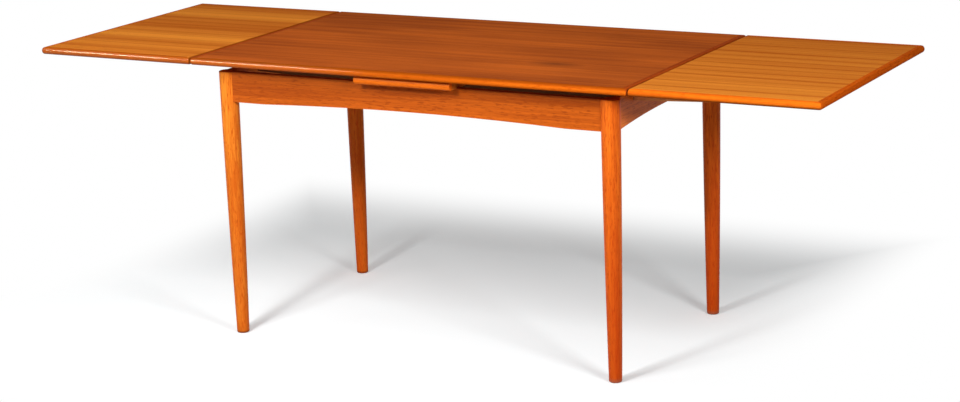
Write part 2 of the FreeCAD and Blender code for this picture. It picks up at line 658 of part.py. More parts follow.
def add_frame():
    """Legs, aprons, guide rail and corner blocks."""
    add_long_apron("front_apron", 0)
    add_long_apron("back_apron", 180)
    add_end_apron("right_end_apron", 0)
    add_end_apron("left_end_apron", 180)
    add_guide_rail()
    corners = (
        ("front_right", 0, 1, -1),
        ("back_right", 90, 1, 1),
        ("back_left", 180, -1, 1),
        ("front_left", 270, -1, -1),
    )
    screws = []
    for name, turn, along, across in corners:
        add_leg(f"{name}_leg", turn, f"{along} * places.leg_along", f"{across} * places.leg_across")
        add_corner_block(f"{name}_corner_block", turn, f"{along} * places.end_inner", f"{across} * places.long_inner")
        length = "sizes.block_seat + sizes.screw_bite"
        side_place = f"{along} * (places.end_inner - places.block_screw)"
        side_seat = f"{across} * (places.long_inner - sizes.block_seat)"
        into_long = (side_place, side_seat, "places.apron_middle")
        screws.append(add_screw(f"{name}_long_screw", length, (1, 0, 0), -90 * across, into_long))
        end_place = f"{across} * (places.long_inner - places.block_screw)"
        end_seat = f"{along} * (places.end_inner - sizes.block_seat)"
        into_end = (end_seat, end_place, "places.apron_middle")
        screws.append(add_screw(f"{name}_end_screw", length, (0, 1, 0), 90 * along, into_end))
    gather("corner_block_screws", screws)


def write_nodes():
    """Checks the whole document, then writes one file for each node."""
    document.recompute()
    for item in document.Objects:
        if "Invalid" in item.State or "Error" in item.State:
            raise RuntimeError(f"{item.Label} failed: {item.State}")
    for node in nodes:
        if node.Shape.isNull() or not node.Shape.isValid() or not node.Shape.Solids:
            raise RuntimeError(f"{node.Label} has no sound shape")
    os.makedirs("parts", exist_ok=True)
    for node in nodes:
        node.Shape.exportStep(os.path.join("parts", node.Label + ".step"))
        box = node.Shape.BoundBox
        print(f"{node.Label:28s} {len(node.Shape.Solids)} solids, {node.Shape.Volume / 1000:.1f} cm3,",
              f"x {box.XMin:.1f} to {box.XMax:.1f}, y {box.YMin:.1f} to {box.YMax:.1f},",
              f"z {box.ZMin:.1f} to {box.ZMax:.1f}")


add_frame()
add_centre_board()
add_centre_top()
add_leaf("right_leaf", 1)
add_leaf("left_leaf", -1)
write_nodes()
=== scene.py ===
"""Dresses a teak draw leaf table: turned legs, mitred lippings, veneers, runners, and a white studio."""

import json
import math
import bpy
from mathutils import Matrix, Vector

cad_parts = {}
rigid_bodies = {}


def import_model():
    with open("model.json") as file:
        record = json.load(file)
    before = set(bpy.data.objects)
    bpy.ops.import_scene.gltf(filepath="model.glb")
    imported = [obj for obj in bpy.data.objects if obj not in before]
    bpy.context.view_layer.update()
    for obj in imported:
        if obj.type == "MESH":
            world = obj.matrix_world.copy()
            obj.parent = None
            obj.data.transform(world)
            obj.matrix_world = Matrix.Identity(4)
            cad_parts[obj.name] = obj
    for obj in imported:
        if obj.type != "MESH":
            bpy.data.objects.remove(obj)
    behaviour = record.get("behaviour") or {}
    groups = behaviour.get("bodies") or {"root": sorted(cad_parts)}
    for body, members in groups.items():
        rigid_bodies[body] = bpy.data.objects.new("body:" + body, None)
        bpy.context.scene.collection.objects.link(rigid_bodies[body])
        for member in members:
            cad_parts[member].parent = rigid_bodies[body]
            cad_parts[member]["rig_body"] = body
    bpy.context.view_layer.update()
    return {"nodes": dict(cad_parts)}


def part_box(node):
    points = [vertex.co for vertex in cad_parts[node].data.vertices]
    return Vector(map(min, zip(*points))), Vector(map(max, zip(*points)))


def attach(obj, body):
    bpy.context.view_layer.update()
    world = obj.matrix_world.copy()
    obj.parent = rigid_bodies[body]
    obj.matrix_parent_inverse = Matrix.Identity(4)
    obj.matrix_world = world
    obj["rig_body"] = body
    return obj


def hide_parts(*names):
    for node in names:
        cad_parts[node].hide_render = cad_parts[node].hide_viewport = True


bl_info = {
    "name": "Draw Leaf Table",
    "version": (1, 0, 0),
    "blender": (4, 5, 0),
    "location": "View3D > Sidebar > Table",
    "description": "Legs, lippings, veneers and a white studio for a draw leaf table",
    "category": "Object",
}

from collections import namedtuple

import bmesh
import bpy
from bpy.props import FloatProperty, FloatVectorProperty, PointerProperty
from mathutils import Matrix, Vector

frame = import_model()

# Axes of the table's frame
ALONG = 0
ACROSS = 1
UP = 2

LEGS = ("front_right_leg", "back_right_leg", "back_left_leg", "front_left_leg")
CORNER_BLOCKS = (
    "front_right_corner_block",
    "back_right_corner_block",
    "back_left_corner_block",
    "front_left_corner_block",
)
SCREWS = ("corner_block_screws", "centre_board_screws", "right_leaf_runner_screws", "left_leaf_runner_screws")
TURNED_PINS = ("guide_pegs", "right_leaf_stop_pins", "left_leaf_stop_pins")

# The leaves, each with the sign of its places along the table
LEAF_SIDES = {"right": 1, "left": -1}


def from_screen(red, green, blue):
    """The linear colour of a screen colour, given from 0 to 255, by the standard curve of screens."""
    linear = []
    for level in (red / 255, green / 255, blue / 255):
        linear.append(level / 12.92 if level <= 0.04045 else ((level + 0.055) / 1.055) ** 2.4)
    return tuple(linear)


def grey(level):
    """An opaque grey."""
    return (level, level, level, 1)


def size_of(node):
    """The lowest corner of a node's box and the box's extent."""
    low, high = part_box(node)
    return low, high - low


def colour_choice(name, description, red, green, blue):
    """A colour that a user can change, given as a screen colour."""
    default = from_screen(red, green, blue)
    return FloatVectorProperty(
        name=name, description=description, subtype="COLOR", min=0, max=1, default=default)


def length_choice(name, description, default):
    """A length in metres that a user can change."""
    return FloatProperty(
        name=name, description=description, unit="LENGTH", min=0, default=default, precision=4)


def light_choice(name, description, default):
    """A strength of light that a user can change."""
    return FloatProperty(name=name, description=description, min=0, default=default)


class TableSizes(bpy.types.PropertyGroup):
    """Lengths of the turned legs and of the rounded lippings"""

    foot_radius: length_choice("Foot radius", "Turned leg at the floor", 0.016)
    middle_radius: length_choice("Middle radius", "Turned leg at half its height", 0.0213)
    foot_rounding: length_choice("Foot rounding", "Lower edge of a leg", 0.003)
    leg_top_rounding: length_choice("Leg top rounding", "Upper edge of a leg", 0.0015)
    edge_rounding: length_choice("Edge rounding", "Rounded edges of the lippings", 0.0085)
    corner_rounding: length_choice("Corner rounding", "Outer corners of a leaf, seen from above", 0.01)
    seam_rounding: length_choice("Seam rounding", "Edges of the lippings along a seam", 0.005)
    lipping_width: length_choice("Lipping width", "Solid edge strips", size_of("top_front_lipping")[1].y)


class TableColours(bpy.types.PropertyGroup):
    """Colours of the woods, the steel and the felt"""

    centre_pale: colour_choice("Centre veneer, pale", "Pale streaks of the centre top", 208, 102, 36)
    centre_dark: colour_choice("Centre veneer, dark", "Dark streaks of the centre top", 148, 68, 27)
    leaf_pale: colour_choice("Leaf veneer, pale", "Pale stripes of the leaves", 236, 144, 50)
    leaf_dark: colour_choice("Leaf veneer, dark", "Dark stripes of the leaves", 180, 82, 22)
    lipping_pale: colour_choice("Lipping, pale", "Pale streaks of the long lippings", 246, 122, 24)
    lipping_dark: colour_choice("Lipping, dark", "Dark streaks of the long lippings", 214, 92, 15)
    leaf_end_pale: colour_choice("Leaf end, pale", "Pale streaks of the outer lippings", 216, 96, 17)
    leaf_end_dark: colour_choice("Leaf end, dark", "Dark streaks of the outer lippings", 174, 69, 10)
    centre_end_pale: colour_choice("Centre end, pale", "Pale streaks of the centre's ends", 178, 75, 23)
    centre_end_dark: colour_choice("Centre end, dark", "Dark streaks of the centre's ends", 144, 56, 15)
    apron_pale: colour_choice("Apron, pale", "Pale streaks of the aprons", 213, 101, 23)
    apron_dark: colour_choice("Apron, dark", "Dark streaks of the aprons", 167, 70, 12)
    # Painted light: the end aprons are lighter than the long aprons because they stand in shade under the
    # leaves
    end_apron_pale: colour_choice("End apron, pale", "Pale streaks of the end aprons", 244, 132, 44)
    end_apron_dark: colour_choice("End apron, dark", "Dark streaks of the end aprons", 200, 92, 24)
    left_leg_pale: colour_choice("Left leg, pale", "Pale streaks of the left legs", 255, 150, 46)
    left_leg_dark: colour_choice("Left leg, dark", "Dark streaks of the left legs", 214, 96, 20)
    right_leg_pale: colour_choice("Right leg, pale", "Pale streaks of the right legs", 246, 120, 30)
    right_leg_dark: colour_choice("Right leg, dark", "Dark streaks of the right legs", 202, 78, 14)
    # Painted light: the runners, rail and blocks are coloured light so that the runners' ends, in shade under
    # the leaves, show about as light as the end aprons
    runner_pale: colour_choice("Runner, pale", "Pale streaks of the runners, rail and blocks", 255, 190, 122)
    runner_dark: colour_choice("Runner, dark", "Dark streaks of the runners, rail and blocks", 226, 152, 90)
    steel: colour_choice("Steel", "Screws", 176, 172, 160)
    felt: colour_choice("Felt", "Pads under the centre top", 62, 70, 52)


class StageSettings(bpy.types.PropertyGroup):
    """The white studio"""

    # Painted light: the floor's faint blue takes out the warm light that the table throws onto its shadow
    floor: colour_choice("Floor", "Floor of the studio", 242, 248, 250)
    front: light_choice("Front lamp", "Watts of the small low lamp", 34)
    left: light_choice("Left lamp", "Watts of the tall lamp at the left", 56)
    right: light_choice("Right lamp", "Watts of the low lamp at the right", 58)
    edge: light_choice("Edge lamp", "Watts of the lamp that shines along the edges", 9)
    sheen: light_choice("Sheen lamp", "Watts of the lamp that shows in the polish only", 270)
    room: light_choice("Room light", "Light from all round", 0.16)


class Value:
    """A node's output, so that shader maths can be written as sums and products."""

    def __init__(self, finish, socket):
        self.finish = finish
        self.socket = socket

    def __add__(self, other):
        return self.finish.maths("ADD", self, other)

    def __sub__(self, other):
        return self.finish.maths("SUBTRACT", self, other)

    def __rsub__(self, other):
        return self.finish.maths("SUBTRACT", other, self)

    def __mul__(self, other):
        return self.finish.maths("MULTIPLY", self, other)

    def __rmul__(self, other):
        return self.finish.maths("MULTIPLY", other, self)


# Sockets of the node that mixes colours: several of them share a name, so they are found by number
MIX_AMOUNT = 0
MIX_FIRST = 6
MIX_SECOND = 7
MIX_RESULT = 2

# The output of the gradient node that is a number
GRADIENT_LEVEL = 1


class Finish:
    """A node tree that is built up node by node."""

    def __init__(self, tree):
        self.tree = tree
        self.tree.nodes.clear()

    def node(self, kind, settings=None, values=None, output=0):
        """Adds a node: its settings first, then the values or links of its sockets."""
        made = self.tree.nodes.new(kind)
        for name, setting in (settings or {}).items():
            setattr(made, name, setting)
        for name, value in (values or {}).items():
            if isinstance(value, Value):
                self.tree.links.new(value.socket, made.inputs[name])
            else:
                made.inputs[name].default_value = value
        return Value(self, made.outputs[output]) if made.outputs else made

    def place(self):
        """The place on the piece, in the table's frame."""
        return self.node("ShaderNodeTexCoord", output="Object")

    def maths(self, operation, first, second=0):
        """One step of maths."""
        return self.node("ShaderNodeMath", {"operation": operation}, {0: first, 1: second})

    def vector(self, operation, first, second):
        """Vector maths on two vectors."""
        return self.node("ShaderNodeVectorMath", {"operation": operation}, {0: first, 1: second})

    def spread(self, value, low, high):
        """Stretches the range from low to high over 0 to 1, with soft ends."""
        settings = {"interpolation_type": "SMOOTHSTEP"}
        return self.node("ShaderNodeMapRange", settings, {"Value": value, "From Min": low, "From Max": high})

    def ramp(self, share, stops):
        """Soft steps between grey levels; each stop is a place from 0 to 1 and the level there."""
        made = self.node("ShaderNodeValToRGB", None, {"Fac": share})
        ramp = made.socket.node.color_ramp
        ramp.interpolation = "EASE"
        places = [place for place, level in stops]
        ramp.elements[0].position = places[0]
        ramp.elements[1].position = places[-1]
        for place in places[1:-1]:
            ramp.elements.new(place)
        for element, stop in zip(ramp.elements, stops):
            element.color = grey(stop[1])
        return made

    def mix(self, amount, first, second, blend="MIX"):
        """Mixes two colours."""
        values = {MIX_AMOUNT: amount, MIX_FIRST: solid(first), MIX_SECOND: solid(second)}
        return self.node("ShaderNodeMix", {"data_type": "RGBA", "blend_type": blend}, values, MIX_RESULT)

    def surface(self, shader):
        """Ends a material's tree with its shader."""
        self.node("ShaderNodeOutputMaterial", None, {"Surface": shader})


def solid(colour):
    """A colour with its opacity; a link stays as it is."""
    if isinstance(colour, Value):
        return colour
    return (*colour[:3], 1)


# Turns that lay fibres along each axis of the table along the first axis
TURNS = ((0, 0, 0), (0, 0, -math.pi / 2), (0, math.pi / 2, 0))

# How the fibres wander: changes to a metre along and across them, and how far in metres in each wood
WANDER = (1.3, 7, 7)
SOLID_SWAY = 0.004
LEAF_SWAY = 0.003
CENTRE_SWAY = 0.012

# A noise in wood: changes to a metre along and across the fibres, how fine it is, and the levels of the noise
# that become 0 and 1
Figure = namedtuple("Figure", "along across detail low high", defaults=(None, None))


class Grain:
    """Places along and across the fibres of a piece of wood."""

    def __init__(self, finish, axis, start, sway):
        self.finish = finish
        turned = finish.node("ShaderNodeMapping", None, {"Vector": finish.place(), "Rotation": TURNS[axis]})
        shifted = finish.vector("ADD", turned, start)
        slow = finish.vector("MULTIPLY", shifted, WANDER)
        wander = finish.node("ShaderNodeTexNoise", None, {"Vector": slow, "Scale": 1, "Detail": 2})
        aside = (wander - 0.5) * sway
        across = finish.node("ShaderNodeCombineXYZ", None, {"Y": aside, "Z": aside})
        self.place = finish.vector("ADD", shifted, across)

    def noise(self, figure):
        """Noise that is drawn out along the fibres, and spread where the figure gives levels."""
        stretch = (figure.along, figure.across, figure.across)
        stretched = self.finish.vector("MULTIPLY", self.place, stretch)
        values = {"Vector": stretched, "Scale": 1, "Detail": figure.detail}
        noise = self.finish.node("ShaderNodeTexNoise", None, values)
        return noise if figure.low is None else self.finish.spread(noise, figure.low, figure.high)


def new_material(name):
    """An empty material and its node tree."""
    material = bpy.data.materials.new(name)
    material.use_nodes = True
    return material, Finish(material.node_tree)


# A tone that covers a wood up to a place along an axis of the table and is gone from another place on
Shade = namedtuple("Shade", "axis full gone strength tone")

# A clear polish, and the reaches that bound it: each an axis and the places where it is full and gone
Polish = namedtuple("Polish", "strength reaches")
NO_POLISH = Polish(0, ())

# How rough a surface is, and how much it mirrors
Gloss = namedtuple("Gloss", "roughness mirror")
FAINT_MIRROR = 0.0005
VENEER_GLOSS = Gloss(0.6, FAINT_MIRROR)

# Open pores: the tint in them, how strongly it shows, and the roughness that they add
PORE_TINT = (0.5, 0.4, 0.32)
PORE_STRENGTH = 0.5
PORE_ROUGHNESS = 0.15

# Fibres: their height beside the depth of the pores, and the span of roughness between them
FIBRE_HEIGHT = 0.6
FIBRE_ROUGHNESS = 0.14

WOOD_BUMP = 0.2
WOOD_BUMP_DEPTH = 0.0004
POLISH_ROUGHNESS = 0.12


def close_wood(finish, colour, fibres, pores, gloss, sheen=0):
    """Adds the fine fibres, the open pores, the gloss and the polish to a wood's colour."""
    deep = finish.mix(pores * PORE_STRENGTH, colour, PORE_TINT, "MULTIPLY")
    normal = finish.node("ShaderNodeBump", None, {
        "Strength": WOOD_BUMP, "Distance": WOOD_BUMP_DEPTH, "Height": fibres * FIBRE_HEIGHT - pores})
    smoothest = gloss.roughness - FIBRE_ROUGHNESS / 2
    shader = finish.node("ShaderNodeBsdfPrincipled", None, {
        "Base Color": deep,
        "Roughness": pores * PORE_ROUGHNESS + (fibres * FIBRE_ROUGHNESS + smoothest),
        "Specular IOR Level": gloss.mirror,
        "Coat Weight": sheen,
        "Coat Roughness": POLISH_ROUGHNESS,
        "Normal": normal,
    })
    finish.surface(shader)


def reach(finish, axis, full, gone):
    """One up to a place along an axis of the table, and zero from another place on."""
    level = finish.node("ShaderNodeSeparateXYZ", None, {"Vector": finish.place()}, axis)
    return 1 - finish.spread(level, full, gone)


SOLID_FLECKS = Figure(48, 320, 2, 0.55, 0.68)
SOLID_FIBRES = Figure(22, 1300, 2)
SOLID_PORES = Figure(46, 1700, 1, 0.6, 0.7)


def solid_wood(name, pale, dark, axis, start, gloss, rings=34, run=0.9, shades=(), polish=NO_POLISH):
    """Solid wood along an axis: rings, streaks, flecks, fibres and pores, with shades and a polish."""
    material, finish = new_material(name)
    grain = Grain(finish, axis, (start, 0, 0), SOLID_SWAY)
    broad = grain.noise(Figure(run, rings, 2, 0.3, 0.7))
    streaks = grain.noise(Figure(run * 5, 210, 3, 0.3, 0.7))
    flecks = grain.noise(SOLID_FLECKS)
    fibres = grain.noise(SOLID_FIBRES)
    pores = grain.noise(SOLID_PORES)
    # Each figure's share in the tone, from dark to pale
    tone = broad * 0.46 + streaks * 0.46 + fibres * 0.1 - flecks * 0.55 + 0.04
    colour = finish.mix(tone, dark, pale)
    for shade in shades:
        cover = reach(finish, shade.axis, shade.full, shade.gone) * shade.strength
        colour = finish.mix(cover, colour, shade.tone)
    sheen = polish.strength
    for axis_and_places in polish.reaches:
        sheen = reach(finish, *axis_and_places) * sheen
    close_wood(finish, colour, fibres, pores, gloss, sheen)
    return material


STRIPE_STREAKS = Figure(2.4, 240, 3, 0.28, 0.72)
STRIPE_FIBRES = Figure(20, 1400, 2)
STRIPE_PORES = Figure(40, 1700, 1, 0.62, 0.72)

# Thin lines in a veneer: how far they stray from an even spread, and the half width of their core and edge
LINE_STRAY = 1.1
LINE_CORE = 0.03
LINE_EDGE = 0.15


class Stripes:
    """Fine structure of a veneer along the table."""

    def __init__(self, finish, start, sway):
        self.finish = finish
        self.grain = Grain(finish, ALONG, start, sway)
        self.streaks = self.grain.noise(STRIPE_STREAKS)
        self.fibres = self.grain.noise(STRIPE_FIBRES)
        self.pores = self.grain.noise(STRIPE_PORES)

    def lines(self, count, share):
        """So many thin lines along the veneer, nearly evenly spread and of uneven strength."""
        uneven = self.grain.noise(Figure(0.2, count, 1))
        level = share * count + uneven * LINE_STRAY
        away = self.finish.maths("PINGPONG", level, 0.5)
        strength = self.grain.noise(Figure(0.6, count * 1.6, 1, 0.2, 0.6))
        return (1 - self.finish.spread(away, LINE_CORE, LINE_EDGE)) * strength

    def across(self, width):
        """The share of the width, from the front edge to the back edge."""
        place = self.finish.node("ShaderNodeSeparateXYZ", None, {"Vector": self.grain.place}, ACROSS)
        return place * (1 / width) + 0.5


# A leaf's veneer: where its figure starts, the strength of its thin dark lines, and its bands from the front
# edge to the back edge, each with its share of the width and its tone
LeafLook = namedtuple("LeafLook", "start lines bands")
LEAF_LOOKS = {
    "right": LeafLook(0, 0.4, ((0.0, 0.86), (0.3, 0.7), (0.55, 0.62), (0.8, 0.56), (1.0, 0.42))),
    "left": LeafLook(0.4, 0.2, (
        (0.0, 0.7), (0.09, 0.5), (0.17, 0.7), (0.25, 0.42), (0.33, 1.0), (0.42, 0.56),
        (0.52, 0.34), (0.68, 0.36), (0.77, 1.0), (0.85, 0.7), (0.91, 0.38), (1.0, 0.22),
    )),
}
LEAF_LINES = 15
LEAF_CLOUDS = Figure(0.4, 22, 2, 0.3, 0.7)

# Painted shade on a leaf's edge along its seam, where it lies in the narrow gap: the places along the table
# where it is full and gone
SEAM_SHADE_FULL = 0.6065
SEAM_SHADE_GONE = 0.6125
SEAM_SHADE_STRENGTH = 0.85
SEAM_SHADE_TONE = from_screen(128, 52, 4)


def leaf_veneer(name, pale, dark, look, side):
    """Quarter-cut veneer of a leaf: bands along it, thin dark lines between them and painted shade along the
    seam.
    """
    material, finish = new_material(name)
    stripes = Stripes(finish, (look.start, 0, 0), LEAF_SWAY)
    width = size_of("top_left_lipping")[1].y
    share = stripes.across(width)
    broad = finish.ramp(share, look.bands)
    clouds = stripes.grain.noise(LEAF_CLOUDS)
    # Each figure's share in the tone, from dark to pale
    tone = broad * 0.95 + clouds * 0.2 + stripes.streaks * 0.26 + stripes.fibres * 0.1 - 0.27
    colour = finish.mix(tone - look.lines * stripes.lines(LEAF_LINES, share), dark, pale)
    seam = reach(finish, ALONG, SEAM_SHADE_FULL * side, SEAM_SHADE_GONE * side) * SEAM_SHADE_STRENGTH
    seam_shaded = finish.mix(seam, colour, SEAM_SHADE_TONE)
    close_wood(finish, seam_shaded, stripes.fibres, stripes.pores, VENEER_GLOSS)
    return material


CENTRE_START = (0.3, 0.2, 0)
CENTRE_CLOUDS = Figure(2.2, 5, 3, 0.32, 0.68)
CENTRE_BANDS = Figure(1.1, 34, 3, 0.3, 0.7)

# Ovals on the centre top, each with its middle and its half lengths: a paler part, and a dark mark
PALE_OVAL = ((0.12, -0.02, 0.73), (0.62, 0.42, 0.3))
DARK_OVAL = ((0.313, -0.145, 0.73), (0.085, 0.034, 0.05))
MARK_TONE = from_screen(104, 52, 26)
MARK_STRENGTH = 0.55
MARK_STREAKS = 0.3


def centre_veneer(name, pale, dark):
    """Red-brown veneer of the centre top: faint streaks, a paler middle and one dark mark."""
    material, finish = new_material(name)
    stripes = Stripes(finish, CENTRE_START, CENTRE_SWAY)
    clouds = stripes.grain.noise(CENTRE_CLOUDS)
    bands = stripes.grain.noise(CENTRE_BANDS)
    place = finish.place()
    middle = oval_spot(finish, place, *PALE_OVAL)
    # Each figure's share in the tone, from dark to pale
    tone = clouds * 0.34 + bands * 0.34 + stripes.streaks * 0.34 + stripes.fibres * 0.1 + middle * 0.28 - 0.2
    spot = oval_spot(finish, place, *DARK_OVAL)
    colour = finish.mix(tone, dark, pale)
    marked = finish.mix(spot * (stripes.streaks * MARK_STREAKS + MARK_STRENGTH), colour, MARK_TONE)
    close_wood(finish, marked, stripes.fibres, stripes.pores, VENEER_GLOSS)
    return material


def oval_spot(finish, place, middle, extent):
    """One at the middle of an oval, falling to zero at its rim."""
    oval = finish.node("ShaderNodeMapping", {"vector_type": "TEXTURE"}, {
        "Vector": place, "Location": middle, "Scale": extent})
    settings = {"gradient_type": "SPHERICAL"}
    return finish.node("ShaderNodeTexGradient", settings, {"Vector": oval}, GRADIENT_LEVEL)


STEEL_WEAR = (0.16, 0.14, 0.11)
STEEL_SMOOTHEST = 0.22
STEEL_WEAR_ROUGHNESS = 0.3


def screw_steel(name, colour):
    """Plain steel with faint wear."""
    material, finish = new_material(name)
    wear = finish.node("ShaderNodeTexNoise", None, {"Vector": finish.place(), "Scale": 900, "Detail": 3})
    shader = finish.node("ShaderNodeBsdfPrincipled", None, {
        "Base Color": finish.mix(wear, colour, STEEL_WEAR),
        "Roughness": wear * STEEL_WEAR_ROUGHNESS + STEEL_SMOOTHEST,
        "Metallic": 1,
    })
    finish.surface(shader)
    return material


FELT_DEEP = from_screen(40, 46, 34)


def pad_felt(name, colour):
    """Wool felt with short matted fibres."""
    material, finish = new_material(name)
    matting = finish.node("ShaderNodeTexNoise", None, {
        "Vector": finish.place(), "Scale": 1400, "Detail": 4, "Distortion": 1.5})
    normal = finish.node("ShaderNodeBump", None, {"Strength": 0.6, "Distance": 0.0006, "Height": matting})
    shader = finish.node("ShaderNodeBsdfPrincipled", None, {
        "Base Color": finish.mix(matting, FELT_DEEP, colour),
        "Roughness": 0.95,
        "Sheen Weight": 0.4,
        "Normal": normal,
    })
    finish.surface(shader)
    return material


def put_finish(node, material):
    """Gives a node that stays as it is a better finish."""
    for slot in frame["nodes"][node].material_slots:
        slot.material = material


def start_piece():
    """Leaves nothing selected."""
    bpy.ops.object.select_all(action="DESELECT")


def pick_edges(wanted):
    """Selects the edges of the piece in edit mode that the test wants."""
    bpy.ops.mesh.select_mode(type="EDGE")
    bpy.ops.mesh.select_all(action="DESELECT")
    data = bpy.context.edit_object.data
    mesh = bmesh.from_edit_mesh(data)
    for edge in mesh.edges:
        edge.select_set(wanted(edge.verts[0].co, edge.verts[1].co))
    bmesh.update_edit_mesh(data)


# Lengths in metres that count as nothing between two places and between two points of a mesh, and the
# sharpest bend that is shaded smooth
SAME_PLACE = 1e-5
SAME_POINT = 1e-6
SMOOTH_BEND = math.radians(35)


def same(first, second):
    """True for two lengths that are the same in practice."""
    return abs(first - second) < SAME_PLACE


def add_block(low, high):
    """Adds a block from its lowest to its highest corner and opens it for editing."""
    start_piece()
    bpy.ops.mesh.primitive_cube_add(size=1, location=(low + high) / 2, scale=high - low)
    bpy.ops.object.transform_apply(location=True, rotation=True, scale=True)
    bpy.ops.object.mode_set(mode="EDIT")


def cut_away(point, direction):
    """Cuts the piece in edit mode with a plane and drops the side that the direction points to."""
    bpy.ops.mesh.select_all(action="SELECT")
    bpy.ops.mesh.bisect(plane_co=point, plane_no=direction, use_fill=True, clear_outer=True)


def close_piece():
    """Leaves edit mode, with smooth curved faces and crisp mitres."""
    bpy.ops.mesh.select_all(action="SELECT")
    bpy.ops.mesh.remove_doubles(threshold=SAME_POINT)
    bpy.ops.mesh.normals_make_consistent(inside=False)
    bpy.ops.object.mode_set(mode="OBJECT")
    bpy.ops.object.shade_smooth_by_angle(angle=SMOOTH_BEND)
    return bpy.context.object


def copy_piece(piece):
    """A copy with a mesh of its own, selected and active."""
    start_piece()
    piece.select_set(True)
    bpy.context.view_layer.objects.active = piece
    bpy.ops.object.duplicate(linked=False)
    return bpy.context.object


def half_turn(piece, middle):
    """A copy that is turned half round about an upright line through the middle."""
    turned = copy_piece(piece)
    bpy.ops.transform.rotate(value=math.pi, orient_axis="Z", center_override=middle)
    bpy.ops.object.transform_apply(location=True, rotation=True, scale=True)
    return turned


def moved(piece, step):
    """A copy that is moved by a step."""
    shifted = copy_piece(piece)
    bpy.ops.transform.translate(value=step)
    bpy.ops.object.transform_apply(location=True, rotation=True, scale=True)
    return shifted


def stand_for(piece, node, material):
    """Names a piece for the node that it stands for, and gives it the node's body and its finish."""
    piece.name = node + "_shape"
    piece.data.name = piece.name
    piece.data.materials.clear()
    piece.data.materials.append(material)
    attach(piece, frame["nodes"][node]["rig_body"])
    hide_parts(node)


LEG_SIDES = 56
LEG_ROUNDING_STEPS = 6
LEG_LENGTH_STEPS = 24

# The legs' wood: broad changes to a metre across the fibres and along them, and its gloss
LEG_RINGS = 50
LEG_RUN = 3
LEG_GLOSS = Gloss(0.36, 0.06)

# The left legs are redder at the back. Painted shade: all legs are darker and redder towards the floor, where
# less light reaches them, and each has a dark rim at the foot that is partly wear and partly painted shade
# where it meets the floor
LEFT_LEG_SHADES = (
    Shade(UP, 0.1, 0.6, 0.4, from_screen(212, 76, 8)),
    Shade(ACROSS, 0.25, -0.25, 0.35, from_screen(250, 84, 8)),
    Shade(UP, 0.001, 0.009, 0.75, from_screen(110, 52, 26)),
)
RIGHT_LEG_SHADES = (
    Shade(UP, 0.1, 0.6, 0.6, from_screen(190, 56, 6)),
    Shade(UP, 0.002, 0.014, 0.7, from_screen(160, 96, 70)),
)


class TurnLegs(bpy.types.Operator):
    """Turns one tapered leg and sets a copy at each corner of the frame"""

    bl_idname = "drawtable.turn_legs"
    bl_label = "Turned Legs"

    def execute(self, context):
        sizes = context.scene.table_sizes
        colours = context.scene.table_colours
        left = solid_wood(
            "left_leg_wood", colours.left_leg_pale, colours.left_leg_dark, UP, 0.1, LEG_GLOSS, LEG_RINGS,
            LEG_RUN, LEFT_LEG_SHADES)
        right = solid_wood(
            "right_leg_wood", colours.right_leg_pale, colours.right_leg_dark, UP, 0.6, LEG_GLOSS, LEG_RINGS,
            LEG_RUN, RIGHT_LEG_SHADES)
        first = self.turn(LEGS[0], sizes)
        low = size_of(LEGS[0])[0]
        copies = [moved(first, size_of(node)[0] - low) for node in LEGS[1:]]
        for node, piece in zip(LEGS, (first, *copies)):
            stand_for(piece, node, left if "left" in node else right)
        return {"FINISHED"}

    def turn(self, node, sizes):
        """Draws a round up from the floor, ring by ring, along the leg's swelling outline."""
        low, extent = size_of(node)
        middle = low + extent / 2
        top_radius = extent.x / 2
        belly = 2 * sizes.middle_radius - (top_radius + sizes.foot_radius) / 2
        height = extent.z

        def radius_at(level):
            share = level / height
            lower = (1 - share) ** 2 * sizes.foot_radius
            return lower + 2 * share * (1 - share) * belly + share ** 2 * top_radius

        rings = []
        angles = [math.pi / 2 * step / LEG_ROUNDING_STEPS for step in range(LEG_ROUNDING_STEPS + 1)]
        for angle in angles:
            level = sizes.foot_rounding * (1 - math.cos(angle))
            rings.append((level, radius_at(level) - sizes.foot_rounding * (1 - math.sin(angle))))
        lower_end = sizes.foot_rounding
        upper_end = height - sizes.leg_top_rounding
        for step in range(1, LEG_LENGTH_STEPS):
            level = lower_end + (upper_end - lower_end) * step / LEG_LENGTH_STEPS
            rings.append((level, radius_at(level)))
        for angle in angles:
            level = upper_end + sizes.leg_top_rounding * math.sin(angle)
            rings.append((level, radius_at(level) - sizes.leg_top_rounding * (1 - math.cos(angle))))
        start_piece()
        first_level, first_radius = rings[0]
        foot = (middle.x, middle.y, low.z + first_level)
        bpy.ops.mesh.primitive_circle_add(
            vertices=LEG_SIDES, radius=first_radius, fill_type="NGON", location=foot)
        bpy.ops.object.transform_apply(location=True, rotation=True, scale=True)
        bpy.ops.object.mode_set(mode="EDIT")
        bpy.ops.mesh.select_all(action="SELECT")
        for (level, radius), (next_level, next_radius) in zip(rings, rings[1:]):
            bpy.ops.mesh.extrude_region_move(TRANSFORM_OT_translate={"value": (0, 0, next_level - level)})
            grow = next_radius / radius
            centre = (middle.x, middle.y, low.z + next_level)
            bpy.ops.transform.resize(value=(grow, grow, 1), center_override=centre)
        return close_piece()


# Faces in each rounding of the lippings
CORNER_STEPS = 10
EDGE_STEPS = 8
SEAM_STEPS = 4

LONG_LIPPING_GLOSS = Gloss(0.34, FAINT_MIRROR)
END_LIPPING_GLOSS = Gloss(0.5, FAINT_MIRROR)
BOARD_STRIP_GLOSS = Gloss(0.4, 0.05)

# Painted shade on the long lippings: on the top of their round and under it, which face away from the main
# light, and along them towards the left end, which gets less light
UPPER_SHADE_TONE = from_screen(104, 36, 2)
UNDER_SHADE_TONE = from_screen(108, 52, 16)
ALONG_SHADE_TONE = from_screen(142, 68, 6)

